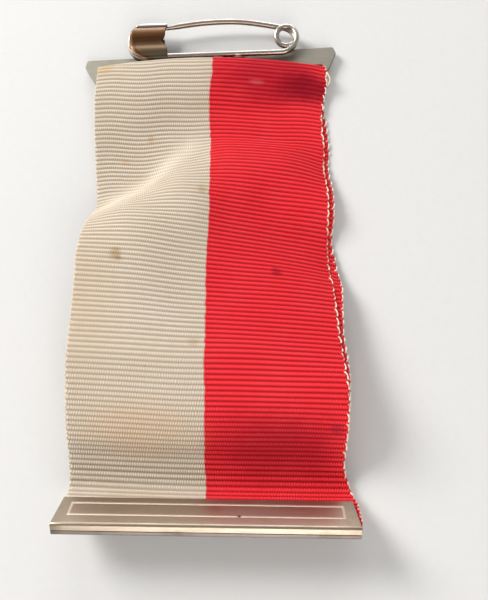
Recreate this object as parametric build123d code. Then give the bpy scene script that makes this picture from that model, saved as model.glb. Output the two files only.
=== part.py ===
from build123d import *
import math
import os

# Ribbon with a pin-back top bar and a clamped lower bar, lying face up on a flat surface.
# Units are millimetres. The origin is on that surface, under the middle of the rail that carries
# the ribbon: +X runs across the ribbon to its red half, +Y along it to the top bar, +Z is up.

# Ribbon
ribbon_width = 37.6
layer_thickness = 0.45
layer_gap = 0.10
end_gap = 0.42            # from a flex line to the ribbon end on each side of it
end_rounding = 0.18

# Side line of the doubled ribbon, at mid thickness: distances from the top fold, and heights
foot_end = 15.0           # it lies flat as far as here
rise_end = 33.0
rise_height = 5.2
crown_at = 48.5
crown_height = 8.0
valley_at = 63.8
foot_radius = 14.0
rise_radius = 40.0
crown_radius = 8.0
valley_radius = 4.0
mouth_radius = 3.0

# Top bar plate
plate_thickness = 0.8
top_margin = 2.07         # past the ribbon on each side, at the far edge
wing_margin = 2.50        # the same at the widest point
wing_drop = 1.2           # from the far edge down to the widest point
wing_slope = 0.5          # inward for each millimetre towards the ribbon
far_rail = 3.4
slot_width = 0.8
near_rail = 3.4
slot_side_gap = 0.2
rail_gap = 0.05           # between the rail and the ribbon loop round it
loop_squeeze = 0.15       # the loop is this much narrower on each side than the ribbon
loop_tail = 2.2           # from the near rail to the flex line
loop_closing = 1.2        # from the near rail to where the loop's layers meet
loop_rounding = 0.88
top_yaw = 3.3

# Safety pin
wire_d = 0.95
pin_skew = -1.4           # the pin is soldered on a little askew
leg_inset = 0.80          # from the plate's far edge to the fixed leg
bend_radius = 2.70
bend_x = 11.98
coil_radius = 1.62
coil_shift_x = 0.92       # from the bend's centre to the coil's
coil_shift_y = 0.40
coil_clearance = 0.03
arm_radius = 43.0
arm_peak_x = 2.0
arm_straight_x = -5.0
tip_x = -12.2
tip_taper = 7.0
tip_radius = 0.06
leg_lift = 0.32           # from the plate's top to the underside of the wire
leg_end_x = -12.0
pivot_gap = 0.2           # from the flex point to the wire on each side of it

# Pin cap, pressed from sheet
cap_sheet = 0.28
cap_wire_gap = 0.02       # under the fixed leg
cap_over_gap = 0.065      # over the fixed leg
cap_pinch = 0.17          # from the wire's middle to the middle of each cheek, pressed together
cap_left = -13.5
cap_right = -7.2
cap_hook_gap = 0.14       # beside the arm
cap_corner = 2.5
valley_near = 0.6         # the pressed valley's two edges, across the cap
valley_far = 2.2          # from the hook
valley_slope = 0.7
hook_return = 2.9         # how far the under cheek stops short of the hook
notch_depth = 0.8
notch_half = 1.2

# Solder beads that hold the fixed leg
bead_centres = (1.25, 4.6)
bead_length = 2.6
bead_width = 1.7
bead_height = 1.0
bead_shift = 0.12         # nearer the ribbon than the leg
bead_taper = 22
bead_rounding = 0.12
bead_clearance = 0.01

# Lower bar
mouth_at = 68.9           # from the top fold
mouth_z = 2.7
bar_tilt = 50.4
bar_yaw = -1.4
bar_depth = 5.3
bar_far_margin = 0.45     # past the ribbon on each side
bar_near_margin = 0.95
face_sheet = 0.35
tray_sheet = 0.34
bar_ribbon_gap = 0.03
lip_sheet = 0.40
flange_drop = 1.05        # from the face down to the seam
seam = 0.06
flex_to_mouth = 0.9
tail_inset = 4.3          # how far the ribbon reaches into the bar
frame_inset = 0.8         # from the ribbon's edge
frame_start = 0.95
frame_end = 3.6
frame_bead = 0.28
frame_height = 0.12
frame_taper = 20
flange_rounding = 0.31

# Worked out from the sizes above
ribbon_stack = 2 * layer_thickness + layer_gap
mid_z = ribbon_stack / 2
half_ribbon = ribbon_width / 2
plate_half_top = half_ribbon + top_margin
plate_half_wing = half_ribbon + wing_margin
bar_far_half = half_ribbon + bar_far_margin
bar_near_half = half_ribbon + bar_near_margin
frame_width = ribbon_width - 2 * frame_inset
plate_z = layer_thickness + rail_gap
plate_top = plate_z + plate_thickness
plate_far = slot_width + far_rail
loop_height = 2 * layer_thickness + 2 * rail_gap + plate_thickness
slot_half = half_ribbon - loop_squeeze + slot_side_gap
wire_r = wire_d / 2
pin_z = plate_top + leg_lift + wire_r
bar_tangent = math.radians(bar_tilt)
top_flex = near_rail + loop_tail
fold_y = near_rail / 2
mouth_y = fold_y - mouth_at
face_top = ribbon_stack / 2 + bar_ribbon_gap + face_sheet
tray_bottom = -ribbon_stack / 2 - bar_ribbon_gap - tray_sheet

top_place = Location((0, fold_y, 0), (0, 0, top_yaw))
pin_place = top_place * Location((0, plate_far, pin_z), (0, 0, pin_skew))
# In the lower bar's own frame +Y runs back out of its mouth and +Z is out of its face.
bar_place = (
    Location((0, mouth_y, mouth_z), (0, 0, bar_yaw)) * Location((0, 0, 0), (-bar_tilt, 0, 0))
)


def side_line():
    """The doubled ribbon's mid line from the top flex line to the lower bar, in the YZ plane."""
    run = (mouth_z - mid_z) / math.tan(bar_tangent)
    points = [
        (fold_y - top_flex, mid_z),
        (fold_y - foot_end, mid_z),
        (fold_y - rise_end, rise_height),
        (fold_y - crown_at, crown_height),
        (fold_y - valley_at, mid_z),
        (mouth_y + run, mid_z),
        (mouth_y, mouth_z),
    ]
    radii = [foot_radius, rise_radius, crown_radius, valley_radius, mouth_radius]
    return Plane.YZ * FilletPolyline(*points, radius=radii)


def ribbon_layer(offset):
    """One layer of the main stretch, its ends cut to the two flex lines."""
    line = side_line()
    start = Plane(origin=line @ 0, z_dir=line % 0, x_dir=(1, 0, 0))
    section = start * Pos(0, offset) * Rectangle(ribbon_width, layer_thickness)
    strip = sweep(section, path=line)
    cut = Box(2 * ribbon_width, ribbon_width, bar_depth)
    at_top = top_place * Pos(0, half_ribbon - top_flex - end_gap, 0) * cut
    at_bar = bar_place * Pos(0, flex_to_mouth + end_gap - half_ribbon, 0) * cut
    return strip - at_top - at_bar


def ribbon_top_loop():
    """The loop round the near rail, closing to the doubled ribbon at the flex line."""
    back = -top_flex + end_gap
    front = rail_gap + layer_thickness
    outline = make_face(
        Polyline(
            (back, 0),
            (front, 0),
            (front, loop_height),
            (-near_rail, loop_height),
            (-near_rail - loop_closing, ribbon_stack),
            (back, ribbon_stack),
            close=True,
        )
    )
    rounds = outline.vertices().group_by(Axis.X)
    outline = fillet(rounds[-1], radius=loop_rounding)
    outline = fillet(outline.vertices().group_by(Axis.X)[0], radius=end_rounding)
    hollow_y = near_rail + 2 * rail_gap
    hollow = Pos(rail_gap - hollow_y / 2, loop_height / 2) * Rectangle(
        hollow_y, plate_thickness + 2 * rail_gap
    )
    half = half_ribbon - loop_squeeze
    return top_place * extrude(Plane.YZ * (outline - hollow), amount=half, both=True)


def top_bar_plate():
    """The stamped plate: wings, far rail, slot and near rail."""
    wing_y = plate_far - wing_drop
    foot_half = plate_half_wing - (wing_y + near_rail) * wing_slope
    outline = Polyline(
        (-plate_half_top, plate_far),
        (-plate_half_wing, wing_y),
        (-foot_half, -near_rail),
        (foot_half, -near_rail),
        (plate_half_wing, wing_y),
        (plate_half_top, plate_far),
        close=True,
    )
    slot = Pos(0, slot_width / 2) * Rectangle(2 * slot_half, slot_width)
    plate = extrude(make_face(outline) - slot, amount=plate_thickness)
    return top_place * Pos(0, 0, plate_z) * plate


def bend_centre():
    """Centre of the wire's end bend, in the pin's frame."""
    return (bend_x, bend_radius - leg_inset)


def arm_centre():
    """Centre of the arm's bow, which runs on smoothly from the end bend."""
    x, y = bend_centre()
    reach = arm_radius - bend_radius
    return (arm_peak_x, y - math.sqrt(reach**2 - (x - arm_peak_x) ** 2))


def join_angle():
    """Angle at which the bend becomes the arm, from +X in degrees."""
    (bx, by), (ax, ay) = bend_centre(), arm_centre()
    return math.degrees(math.atan2(by - ay, bx - ax))


def on_circle(centre, radius, angle):
    """A point of a circle in the pin's plane."""
    turn = math.radians(angle)
    return (centre[0] + radius * math.cos(turn), centre[1] + radius * math.sin(turn))


def pivot_point():
    """Where the arm flexes, in the pin's frame."""
    return on_circle(bend_centre(), bend_radius, join_angle())


def wire(path):
    """Round wire along a flat path in the pin's frame."""
    start = Plane(origin=path @ 0, z_dir=path % 0)
    return sweep(start * Circle(wire_r), path=path)


def pin_leg():
    """The fixed leg and the end bend, as far as the flex point."""
    centre = bend_centre()
    stop = join_angle() - math.degrees(pivot_gap / bend_radius)
    foot = on_circle(centre, bend_radius, -90)
    middle = on_circle(centre, bend_radius, (stop - 90) / 2)
    end = on_circle(centre, bend_radius, stop)
    straight = Edge.make_line((leg_end_x, foot[1]), foot)
    bend = Edge.make_three_point_arc(foot, middle, end)
    return pin_place * wire(Wire([straight, bend]))


def pin_coil():
    """The spring's extra turn, lying on the end bend."""
    ring = Torus(coil_radius, wire_r)
    rise = wire_d + coil_clearance
    x, y = bend_centre()
    return pin_place * Pos(x + coil_shift_x, y + coil_shift_y, rise) * ring


def pin_arm():
    """The bowed arm, straight inside the cap, with a long point."""
    centre = arm_centre()
    start = join_angle() + math.degrees(pivot_gap / arm_radius)
    stop = 90 + math.degrees(math.asin((arm_peak_x - arm_straight_x) / arm_radius))
    first = on_circle(centre, arm_radius, start)
    middle = on_circle(centre, arm_radius, (start + stop) / 2)
    last = on_circle(centre, arm_radius, stop)
    slope = math.radians(stop - 90)
    run = last[0] - tip_x - tip_taper
    neck = (last[0] - run, last[1] - run * math.tan(slope))
    bow = Edge.make_three_point_arc(first, middle, last)
    shaft = wire(Wire([bow, Edge.make_line(last, neck)]))
    heading = Plane(origin=(neck[0], neck[1], 0), z_dir=(-math.cos(slope), -math.sin(slope), 0))
    point = heading * Pos(0, 0, tip_taper / 2) * Cone(wire_r, tip_radius, tip_taper)
    return pin_place * (shaft + point)


def pin_cap():
    """A folded sheet cap: it wraps the fixed leg, pinches shut and hooks over the arm."""
    arm_y = arm_centre()[1] + math.sqrt(arm_radius**2 - (cap_right - arm_peak_x) ** 2)
    hook = arm_y + wire_r + cap_hook_gap + cap_sheet / 2
    wrap = -leg_inset - wire_r - cap_wire_gap - cap_sheet / 2
    under = -wire_r - cap_wire_gap - cap_sheet / 2
    rise = wire_r + cap_over_gap + cap_sheet / 2
    sheet_line = FilletPolyline(
        (hook, 0),
        (hook, rise),
        (hook - valley_far, rise),
        (hook - valley_far - valley_slope, cap_pinch),
        (valley_near + valley_slope, cap_pinch),
        (valley_near, rise),
        (wrap, rise),
        (wrap, under),
        (valley_near, under),
        (valley_near + valley_slope, -cap_pinch),
        (hook - hook_return, -cap_pinch),
        radius=[0.3, 0.2, 0.3, 0.3, 0.2, 0.4, 0.3, 0.2, 0.2],
    )
    section = trace(sheet_line, line_width=cap_sheet)
    length = cap_right - cap_left
    sheet = Pos(cap_left, 0, 0) * extrude(Plane.YZ * section, amount=length)
    low = wrap - cap_sheet / 2
    high = hook + cap_sheet / 2
    blank = Pos((cap_left + cap_right) / 2, (low + high) / 2) * Rectangle(length, high - low)
    blank = fillet(blank.vertices().group_by(Axis.X)[0], radius=cap_corner)
    middle = (low + high) / 2
    notch = make_face(
        Polyline(
            (cap_right, middle - notch_half),
            (cap_right, middle + notch_half),
            (cap_right - notch_depth, middle),
            close=True,
        )
    )
    blank = extrude(blank - notch, amount=loop_height, both=True)
    return pin_place * (sheet & blank)


def solder_joints():
    """Two beads of solder between the plate and the fixed leg."""
    beads = []
    for x in bead_centres:
        centre_y = -leg_inset - bead_shift
        foot = Pos(x, centre_y, plate_top - pin_z) * Ellipse(bead_length / 2, bead_width / 2)
        bead = extrude(foot, amount=bead_height, taper=bead_taper)
        bead = fillet(bead.edges().group_by(Axis.Z)[-1], radius=bead_rounding)
        leg = Pos(x, -leg_inset, 0) * Rot(0, 90, 0) * Cylinder(wire_r + bead_clearance, 3 * bead_length)
        beads.append(bead - leg)
    return pin_place * Compound(children=beads)


def bar_blank(low, high):
    """The lower bar's tapering plan, solid between two heights over its mid plane."""
    outline = Polyline(
        (-bar_far_half, 0),
        (bar_far_half, 0),
        (bar_near_half, -bar_depth),
        (-bar_near_half, -bar_depth),
        close=True,
    )
    return Pos(0, 0, low) * extrude(make_face(outline), amount=high - low)


def lower_bar_face():
    """The front shell: a flat face with a raised frame, and a flange turned down at its near edge."""
    low = face_top - flange_drop
    shell = bar_blank(low, face_top)
    room = Pos(0, -bar_depth / 2 + face_sheet, low + (flange_drop - face_sheet) / 2) * Box(
        4 * bar_near_half, bar_depth, flange_drop - face_sheet
    )
    shell = shell - room
    outer = shell.edges().filter_by(Axis.X).sort_by(lambda e: e.center().Z - e.center().Y)[-1]
    shell = fillet(outer, radius=flange_rounding)
    inner_length = frame_end - frame_start
    band = Rectangle(frame_width, inner_length) - Rectangle(
        frame_width - 2 * frame_bead, inner_length - 2 * frame_bead
    )
    middle = -(frame_start + frame_end) / 2
    frame = Pos(0, middle, face_top) * extrude(band, amount=frame_height, taper=frame_taper)
    return bar_place * (shell + frame)


def lower_bar_back():
    """The back tray, with a lip turned up to the seam under the front shell's flange."""
    lip_top = face_top - flange_drop - seam
    tray = bar_blank(tray_bottom, lip_top)
    inside = -ribbon_stack / 2 - bar_ribbon_gap
    height = lip_top - inside
    room = Pos(0, -bar_depth / 2 + lip_sheet, inside + height / 2) * Box(
        4 * bar_near_half, bar_depth, height
    )
    return bar_place * (tray - room)


def ribbon_tail():
    """The ribbon's two ends between the lower bar's plates, out to the flex line."""
    out = flex_to_mouth - end_gap
    length = out + tail_inset
    tail = Pos(0, out - length / 2, 0) * Box(ribbon_width, length, ribbon_stack)
    ends = tail.edges().filter_by(Axis.X).group_by(Axis.Y)[-1]
    return bar_place * fillet(ends, radius=end_rounding)


nodes = {
    "ribbon_front_layer": ribbon_layer((layer_thickness + layer_gap) / 2),
    "ribbon_back_layer": ribbon_layer(-(layer_thickness + layer_gap) / 2),
    "ribbon_top_loop": ribbon_top_loop(),
    "ribbon_tail": ribbon_tail(),
    "top_bar_plate": top_bar_plate(),
    "pin_leg": pin_leg(),
    "pin_coil": pin_coil(),
    "pin_arm": pin_arm(),
    "pin_cap": pin_cap(),
    "solder_joints": solder_joints(),
    "lower_bar_face": lower_bar_face(),
    "lower_bar_back": lower_bar_back(),
}

os.makedirs("parts", exist_ok=True)
for name, shape in nodes.items():
    export_step(shape, f"parts/{name}.step")

# The flex lines, in metres
top_flex_at = (top_place * Pos(0, -top_flex, mid_z)).position / 1000
bar_flex_at = (bar_place * Pos(0, flex_to_mouth, 0)).position / 1000
arm_flex_at = (pin_place * Pos(*pivot_point(), 0)).position / 1000
print("top bar flex", top_flex_at)
print("lower bar flex", bar_flex_at)
print("pin arm flex", arm_flex_at)
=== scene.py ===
import math

import bpy
import bmesh
import numpy as np
from mathutils import Matrix, Vector, noise


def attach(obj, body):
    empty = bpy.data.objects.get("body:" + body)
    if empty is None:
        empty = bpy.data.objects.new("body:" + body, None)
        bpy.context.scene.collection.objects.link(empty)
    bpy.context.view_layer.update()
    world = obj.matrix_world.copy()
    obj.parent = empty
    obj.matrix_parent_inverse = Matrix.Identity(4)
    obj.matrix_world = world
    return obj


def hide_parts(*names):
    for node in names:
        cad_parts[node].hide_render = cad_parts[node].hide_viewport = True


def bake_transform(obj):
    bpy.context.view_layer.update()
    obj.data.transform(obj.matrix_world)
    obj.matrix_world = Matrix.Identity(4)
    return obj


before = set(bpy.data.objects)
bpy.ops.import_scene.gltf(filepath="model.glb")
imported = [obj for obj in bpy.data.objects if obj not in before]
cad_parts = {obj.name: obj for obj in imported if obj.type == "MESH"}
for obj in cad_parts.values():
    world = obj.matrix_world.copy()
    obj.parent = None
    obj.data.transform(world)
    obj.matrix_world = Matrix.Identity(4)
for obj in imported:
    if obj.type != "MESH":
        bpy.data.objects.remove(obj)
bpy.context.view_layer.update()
print("frame loaded")

# Lengths are in millimetres until makeMesh turns them into metres, and angles in degrees
mm = 0.001
topBar = {
    "foldY": 1.7,             # far edge of the near rail
    "turn": 3.3,
    "plateZ": 0.5,
    "thickness": 0.8,
    "halfTop": 20.87,
    "halfWing": 21.3,
    "far": 4.2,
    "wingDrop": 1.2,
    "wingSlope": 0.5,
    "nearRail": 3.4,
    "slotWidth": 0.8,
    "slotHalf": 18.85,
    "corner": 0.32,
    "wingCorner": 0.5,
    "footCorner": 0.4,
    "slotCorner": 0.3,
    "edge": 0.09,
    "wireZ": 2.095,           # middle of the pin's fixed leg
    "pinTurn": -1.4,          # the pin over the plate
}
lowerBar = {
    "mouthY": -67.2,
    "mouthZ": 2.7,
    "turn": -1.4,
    "tilt": -50.4,            # its near side down
    "depth": 5.3,
    "farHalf": 19.25,
    "nearHalf": 19.75,
    "faceTop": 0.88,
    "faceSheet": 0.35,
    "flangeDrop": 1.05,
    "flangeRound": 0.80,
    "seam": 0.06,
    "lipSheet": 0.40,
    "traySheet": 0.34,
    "trayBottom": -0.87,
    "trayRound": 0.22,
    "edge": 0.07,
    "stations": 24,           # cross-sections from end to end
}


def turned(axis, degrees):
    return Matrix.Rotation(math.radians(degrees), 4, axis)


topPlace = Matrix.Translation((0, topBar["foldY"], 0)) @ turned("Z", topBar["turn"])
pinPlace = topPlace @ Matrix.Translation((0, topBar["far"], topBar["wireZ"])) @ turned("Z", topBar["pinTurn"])
barPlace = Matrix.Translation((0, lowerBar["mouthY"], lowerBar["mouthZ"]))
barPlace = barPlace @ turned("Z", lowerBar["turn"]) @ turned("X", lowerBar["tilt"])


def placed(matrix, points):
    points = np.asarray(points, float)
    m = np.array(matrix)
    return points @ m[:3, :3].T + m[:3, 3]


def inScene(name, data):
    piece = bpy.data.objects.new(name, data)
    bpy.context.scene.collection.objects.link(piece)
    return piece


def makeMesh(name, points, faces=(), edges=()):
    mesh = bpy.data.meshes.new(name)
    mesh.from_pydata((np.asarray(points, float) * mm).tolist(), list(edges), list(faces))
    mesh.polygons.foreach_set("use_smooth", [True] * len(mesh.polygons))
    return inScene(name, mesh)


def skin(rows, columns, roundRows=False, roundColumns=False, start=0):
    # four-sided faces over a grid of points, closed on itself where it says so
    index = start + np.arange(rows * columns).reshape(rows, columns)
    if roundRows:
        index = np.vstack([index, index[:1]])
    if roundColumns:
        index = np.hstack([index, index[:, :1]])
    corners = [index[:-1, :-1], index[:-1, 1:], index[1:, 1:], index[1:, :-1]]
    return np.stack([c.ravel() for c in corners], axis=1).tolist()


def note(piece, name, values, kind="FLOAT"):
    layer = piece.data.attributes.new(name, kind, "POINT")
    values = np.asarray(values, np.float32).ravel()
    layer.data.foreach_set("vector" if kind == "FLOAT_VECTOR" else "value", values)


def outwards(piece):
    mesh = bmesh.new()
    mesh.from_mesh(piece.data)
    bmesh.ops.remove_doubles(mesh, verts=mesh.verts, dist=1e-7)
    bmesh.ops.recalc_face_normals(mesh, faces=mesh.faces)
    mesh.to_mesh(piece.data)
    mesh.free()
    return piece


def settled(draft):
    # the evaluated shape as a plain mesh, in a new object at the origin
    bpy.context.view_layer.update()
    graph = bpy.context.evaluated_depsgraph_get()
    shaped = draft.evaluated_get(graph)
    mesh = bpy.data.meshes.new_from_object(shaped, preserve_all_data_layers=True, depsgraph=graph)
    mesh.transform(draft.matrix_world)
    name = draft.name
    bpy.data.objects.remove(draft)
    mesh.name = name
    return inScene(name, mesh)


class Net:
    # adds nodes to one tree
    def __init__(self, tree):
        self.tree = tree

    def node(self, kind, settings=None, links=None, out=0):
        made = self.tree.nodes.new(kind)
        for key, value in (settings or {}).items():
            if key == "stops":
                ramp = made.color_ramp
                while len(ramp.elements) < len(value):
                    ramp.elements.new(0.5)
                for element, (at, colour) in zip(ramp.elements, value):
                    element.position, element.color = at, colour
            else:
                setattr(made, key, value)
        for key, value in (links or {}).items():
            socket = made.inputs[key]
            if isinstance(value, Socket):
                self.tree.links.new(value.link, socket)
            else:
                socket.default_value = value
        return Socket(self, made.outputs[out], made) if made.outputs else made

    def colourMix(self, share, first, second):
        return self.node("ShaderNodeMix", {"data_type": "RGBA"}, {0: share, 6: first, 7: second}, 2)

    def scaled(self, vector, by):
        return self.node("ShaderNodeVectorMath", {"operation": "SCALE"}, {0: vector, "Scale": by})

    def kept(self, name, kind="FLOAT"):
        return self.node("GeometryNodeInputNamedAttribute", {"data_type": kind}, {"Name": name})

    def tube(self, line, radius, sides, thick=1.0):
        links = {"Resolution": sides, "Radius": radius * mm}
        ring = self.node("GeometryNodeCurvePrimitiveCircle", {"mode": "RADIUS"}, links)
        links = {"Curve": line, "Profile Curve": ring, "Scale": thick, "Fill Caps": True}
        return self.node("GeometryNodeCurveToMesh", None, links)


def mathsPair(operation):
    # an operator and its reflected form
    def forward(socket, other):
        return socket.maths(operation, other)

    def reflected(socket, other):
        return socket.net.node("ShaderNodeMath", {"operation": operation}, {0: other, 1: socket})

    return forward, reflected


class Socket:
    # an output socket that takes part in sums
    __add__, __radd__ = mathsPair("ADD")
    __sub__, __rsub__ = mathsPair("SUBTRACT")
    __mul__, __rmul__ = mathsPair("MULTIPLY")
    __truediv__, __rtruediv__ = mathsPair("DIVIDE")
    __pow__, __rpow__ = mathsPair("POWER")

    def __init__(self, net, link, made=None):
        self.net, self.link, self.made = net, link, made

    def maths(self, operation, *others, clamped=False):
        settings = {"operation": operation, "use_clamp": clamped}
        return self.net.node("ShaderNodeMath", settings, dict(enumerate((self,) + others)))

    def __abs__(self):
        return self.maths("ABSOLUTE")

    def sine(self):
        return self.maths("SINE")

    def floor(self):
        return self.maths("FLOOR")

    def clamped(self):
        return self.maths("ADD", 0.0, clamped=True)

    def between(self, low, high):
        # 0 below low, 1 above high, smoothly
        links = {"Value": self, "From Min": low, "From Max": high}
        return self.net.node("ShaderNodeMapRange", {"interpolation_type": "SMOOTHSTEP"}, links)


def linear(red, green, blue):
    # a screen colour, 0 to 255, as light
    shares = [c / 255 for c in (red, green, blue)]
    return tuple(c / 12.92 if c <= 0.04045 else ((c + 0.055) / 1.055) ** 2.4 for c in shares) + (1,)


class Finish(Net):
    # one material's tree, with its shader ready
    def __init__(self, name, **constants):
        self.material = bpy.data.materials.new(name)
        self.material.use_nodes = True
        super().__init__(self.material.node_tree)
        self.shader = self.tree.nodes["Principled BSDF"]
        for key, value in constants.items():
            self.shader.inputs[key.replace("_", " ")].default_value = value

    def give(self, socket, value):
        self.tree.links.new(value.link, self.shader.inputs[socket])

    def value(self, name):
        return self.node("ShaderNodeAttribute", {"attribute_name": name}, out="Fac")

    def clouds(self, vector, scale, detail=3.0, roughness=0.5):
        links = {"Vector": vector, "Scale": scale, "Detail": detail, "Roughness": roughness}
        return self.node("ShaderNodeTexNoise", None, links)

    def stretched(self, *scale, turn=0.0):
        # the piece's own coordinates, drawn out each way
        place = self.node("ShaderNodeTexCoord", out="Object")
        links = {"Vector": place, "Scale": scale, "Rotation": (0, 0, turn)}
        return self.node("ShaderNodeMapping", None, links)

    def joined(self, x, y, z=0.0):
        return self.node("ShaderNodeCombineXYZ", None, {0: x, 1: y, 2: z})

    def bump(self, height, distance, strength=1.0):
        links = {"Height": height, "Distance": distance, "Strength": strength}
        self.give("Normal", self.node("ShaderNodeBump", None, links))


cloth = {
    "ribPitch": 0.7258,       # along the cloth, one weft cord to the next
    "cream": linear(236, 226, 213),
    # painted shade colours for the grooves between ribs and the gaps between threads, cream and red
    "creamGrooveShade": linear(152, 134, 114),
    "creamTired": linear(228, 214, 190),
    "red": linear(255, 60, 69),
    "redGrooveShade": linear(150, 0, 12),
    "redTired": linear(255, 68, 77),
    "threadSpacing": 0.33,
    "threadSlant": 0.5,       # threads that one rib moves the pattern sideways
    "threadWander": 1.4,
    "grooveWaver": 0.15,      # ribs that a thread bends its groove
    "joinStep": 0.16,         # the colours' meeting line: one rib to the next,
    "joinSway": 0.2,          # over many ribs,
    "joinSoft": 0.07,         # and how sharp it is
    "grooveShadeShare": 0.85,
    "crushedAway": 0.75,      # how much of the painted groove shade is taken away where the ribs are flattened along the fold
    # painted shade between the threads: the extra share on the rib crests, and the share everywhere
    "threadGapShadeCrest": 0.46,
    "threadGapShadeGround": 0.24,
    "lintShare": 0.08,
    "creaseShade": 0.6,
    "bump": 0.00007,          # metres
}
# Stains on the cloth, a broad browner tint near the lower bar, and painted shade as broad dark red patches on
# the red half: rib, distance across, radius, strength, length over width, colour
stainsAndShade = (
    (53.9, -13.1, 1.0, 0.55, 1.3, (146, 112, 48)),
    (54.9, -12.6, 0.5, 0.50, 1.0, (112, 82, 36)),
    (36.8, -1.1, 0.8, 0.42, 1.6, (164, 128, 66)),
    (70.9, -1.5, 0.9, 0.42, 1.0, (164, 134, 84)),
    (19.8, -9.7, 0.6, 0.45, 1.7, (168, 130, 76)),
    (25.2, -13.9, 0.8, 0.36, 1.0, (176, 140, 86)),
    (75.8, -8.0, 0.16, 0.75, 1.0, (96, 60, 34)),
    (2.6, -18.0, 2.4, 0.45, 0.8, (186, 152, 92)),
    # a broad browner tint over the cream near the lower bar
    (88.5, -9.0, 9.5, 0.24, 0.6, (206, 156, 104)),
    (64.0, -17.0, 6.0, 0.14, 2.4, (196, 156, 110)),
    (54.3, 10.3, 0.95, 0.5, 1.0, (110, 6, 30)),
    (87.0, 17.4, 1.2, 0.4, 0.8, (116, 16, 50)),
    # painted shade: broad dark red patches where the red half turns away from the light, near the fold and
    # near the lower bar
    (7.0, 15.6, 5.8, 0.72, 0.60, (112, 0, 26)),
    (90.5, 9.5, 10.5, 0.50, 0.60, (132, 0, 26)),
    (4.5, 9.5, 10.5, 0.50, 0.60, (136, 0, 30)),
    (6.2, 7.3, 1.5, 0.13, 0.40, (255, 160, 160)),
)


def clothFinish():
    f = Finish("ribbedCloth", Roughness=0.6, Specular_IOR_Level=0.08)
    along, across = f.value("along"), f.value("across")
    down = along * cloth["ribPitch"]
    wander = f.clouds(f.joined(along * 0.7, across * 0.5), 1.3, 2.0) * cloth["threadWander"]
    wave = ((across / cloth["threadSpacing"] + along * cloth["threadSlant"] + wander) * math.tau).sine()
    crest = abs(((along + wave * cloth["grooveWaver"]) * math.pi).sine())
    rib = f.node("ShaderNodeTexWhiteNoise", {"noise_dimensions": "1D"}, {"W": along.floor()})
    sway = f.clouds(f.joined(along * 0.05, 0.0), 3.0)
    join = across + (rib - 0.5) * cloth["joinStep"] + (sway - 0.5) * cloth["joinSway"] + wave * 0.03
    aged = f.clouds(f.joined(down, across), 0.16, 4.0, 0.6)
    patch = f.clouds(f.joined(down, across, 7.0), 0.045, 3.0, 0.6)
    lint = f.clouds(f.joined(along * 4.0, across * 1.4), 2.2, 4.0, 0.7)
    # painted shade in the grooves between the ribs, partly taken away where the ribs are flattened along the
    # fold
    grooveShade = (1 - crest.between(0.10, 0.97)) * (1 - f.value("crushed") * cloth["crushedAway"])
    # dull: painted shade between the threads, deeper on the rib crests, with random darker lint added
    dull = (1 - wave.between(-0.7, 0.7)) * (crest * cloth["threadGapShadeCrest"] + cloth["threadGapShadeGround"])
    dull = dull + lint.between(0.4, 0.8) * cloth["lintShare"]
    tired = (aged * 1.1 + patch * 0.7 - 0.62).clamped()
    cream = f.colourMix(tired, cloth["cream"], cloth["creamTired"])
    # the cream darkened towards its painted groove shade colour
    cream = f.colourMix(grooveShade * cloth["grooveShadeShare"], cream, cloth["creamGrooveShade"])
    cream = f.colourMix(dull, cream, cloth["creamGrooveShade"])
    flame = f.colourMix(aged.between(0.4, 0.75), cloth["red"], cloth["redTired"])
    # the red darkened towards its painted groove shade colour
    flame = f.colourMix(grooveShade, flame, cloth["redGrooveShade"])
    flame = f.colourMix(dull * 0.6, flame, cloth["redGrooveShade"])
    colour = f.colourMix(join.between(-cloth["joinSoft"], cloth["joinSoft"]), cream, flame)
    # painted shade along the crease beside the fold
    colour = f.colourMix(f.value("creaseLine") * cloth["creaseShade"], colour, cloth["creamGrooveShade"])
    # stains and painted shade patches, each mixed in towards its own colour
    for at, side, radius, strength, tall, shade in stainsAndShade:
        far = (((along - at) * (cloth["ribPitch"] / tall)) ** 2.0 + (across - side) ** 2.0) ** 0.5
        ragged = far + (lint - 0.5) * radius * 1.3 + (aged - 0.5) * radius * 0.8
        markShare = (1 - ragged.between(radius * 0.3, radius * 1.1)) * strength
        colour = f.colourMix(markShare, colour, linear(*shade))
    f.give("Base Color", colour)
    f.bump(wave * crest * 0.6 + lint * 0.4, cloth["bump"], 0.8)
    return f.material


def threadFinish(name, shade):
    f = Finish(name, Roughness=0.7, Sheen_Weight=0.15, Specular_IOR_Level=0.25)
    twist = f.clouds(f.stretched(4000, 4000, 4000), 1.0, 3.0)
    f.give("Base Color", f.colourMix(twist.between(0.3, 0.7) * 0.5, linear(*shade), cloth["creamTired"]))
    f.bump(twist, 0.00003)
    return f.material


metal = {
    "clouds": (260, 260, 260),         # marks in a metre, each way
    "spots": (1500, 1500, 1500),
    "scratches": (90, 700, 500),
    "scratchTurn": 0.5,                # radians
    "scratchWide": 0.02,
    "rubbedRough": 0.22,
    "cloudyRough": 0.12,
    "scratchRough": 0.05,
    "bump": 0.000012,                  # metres
}


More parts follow.
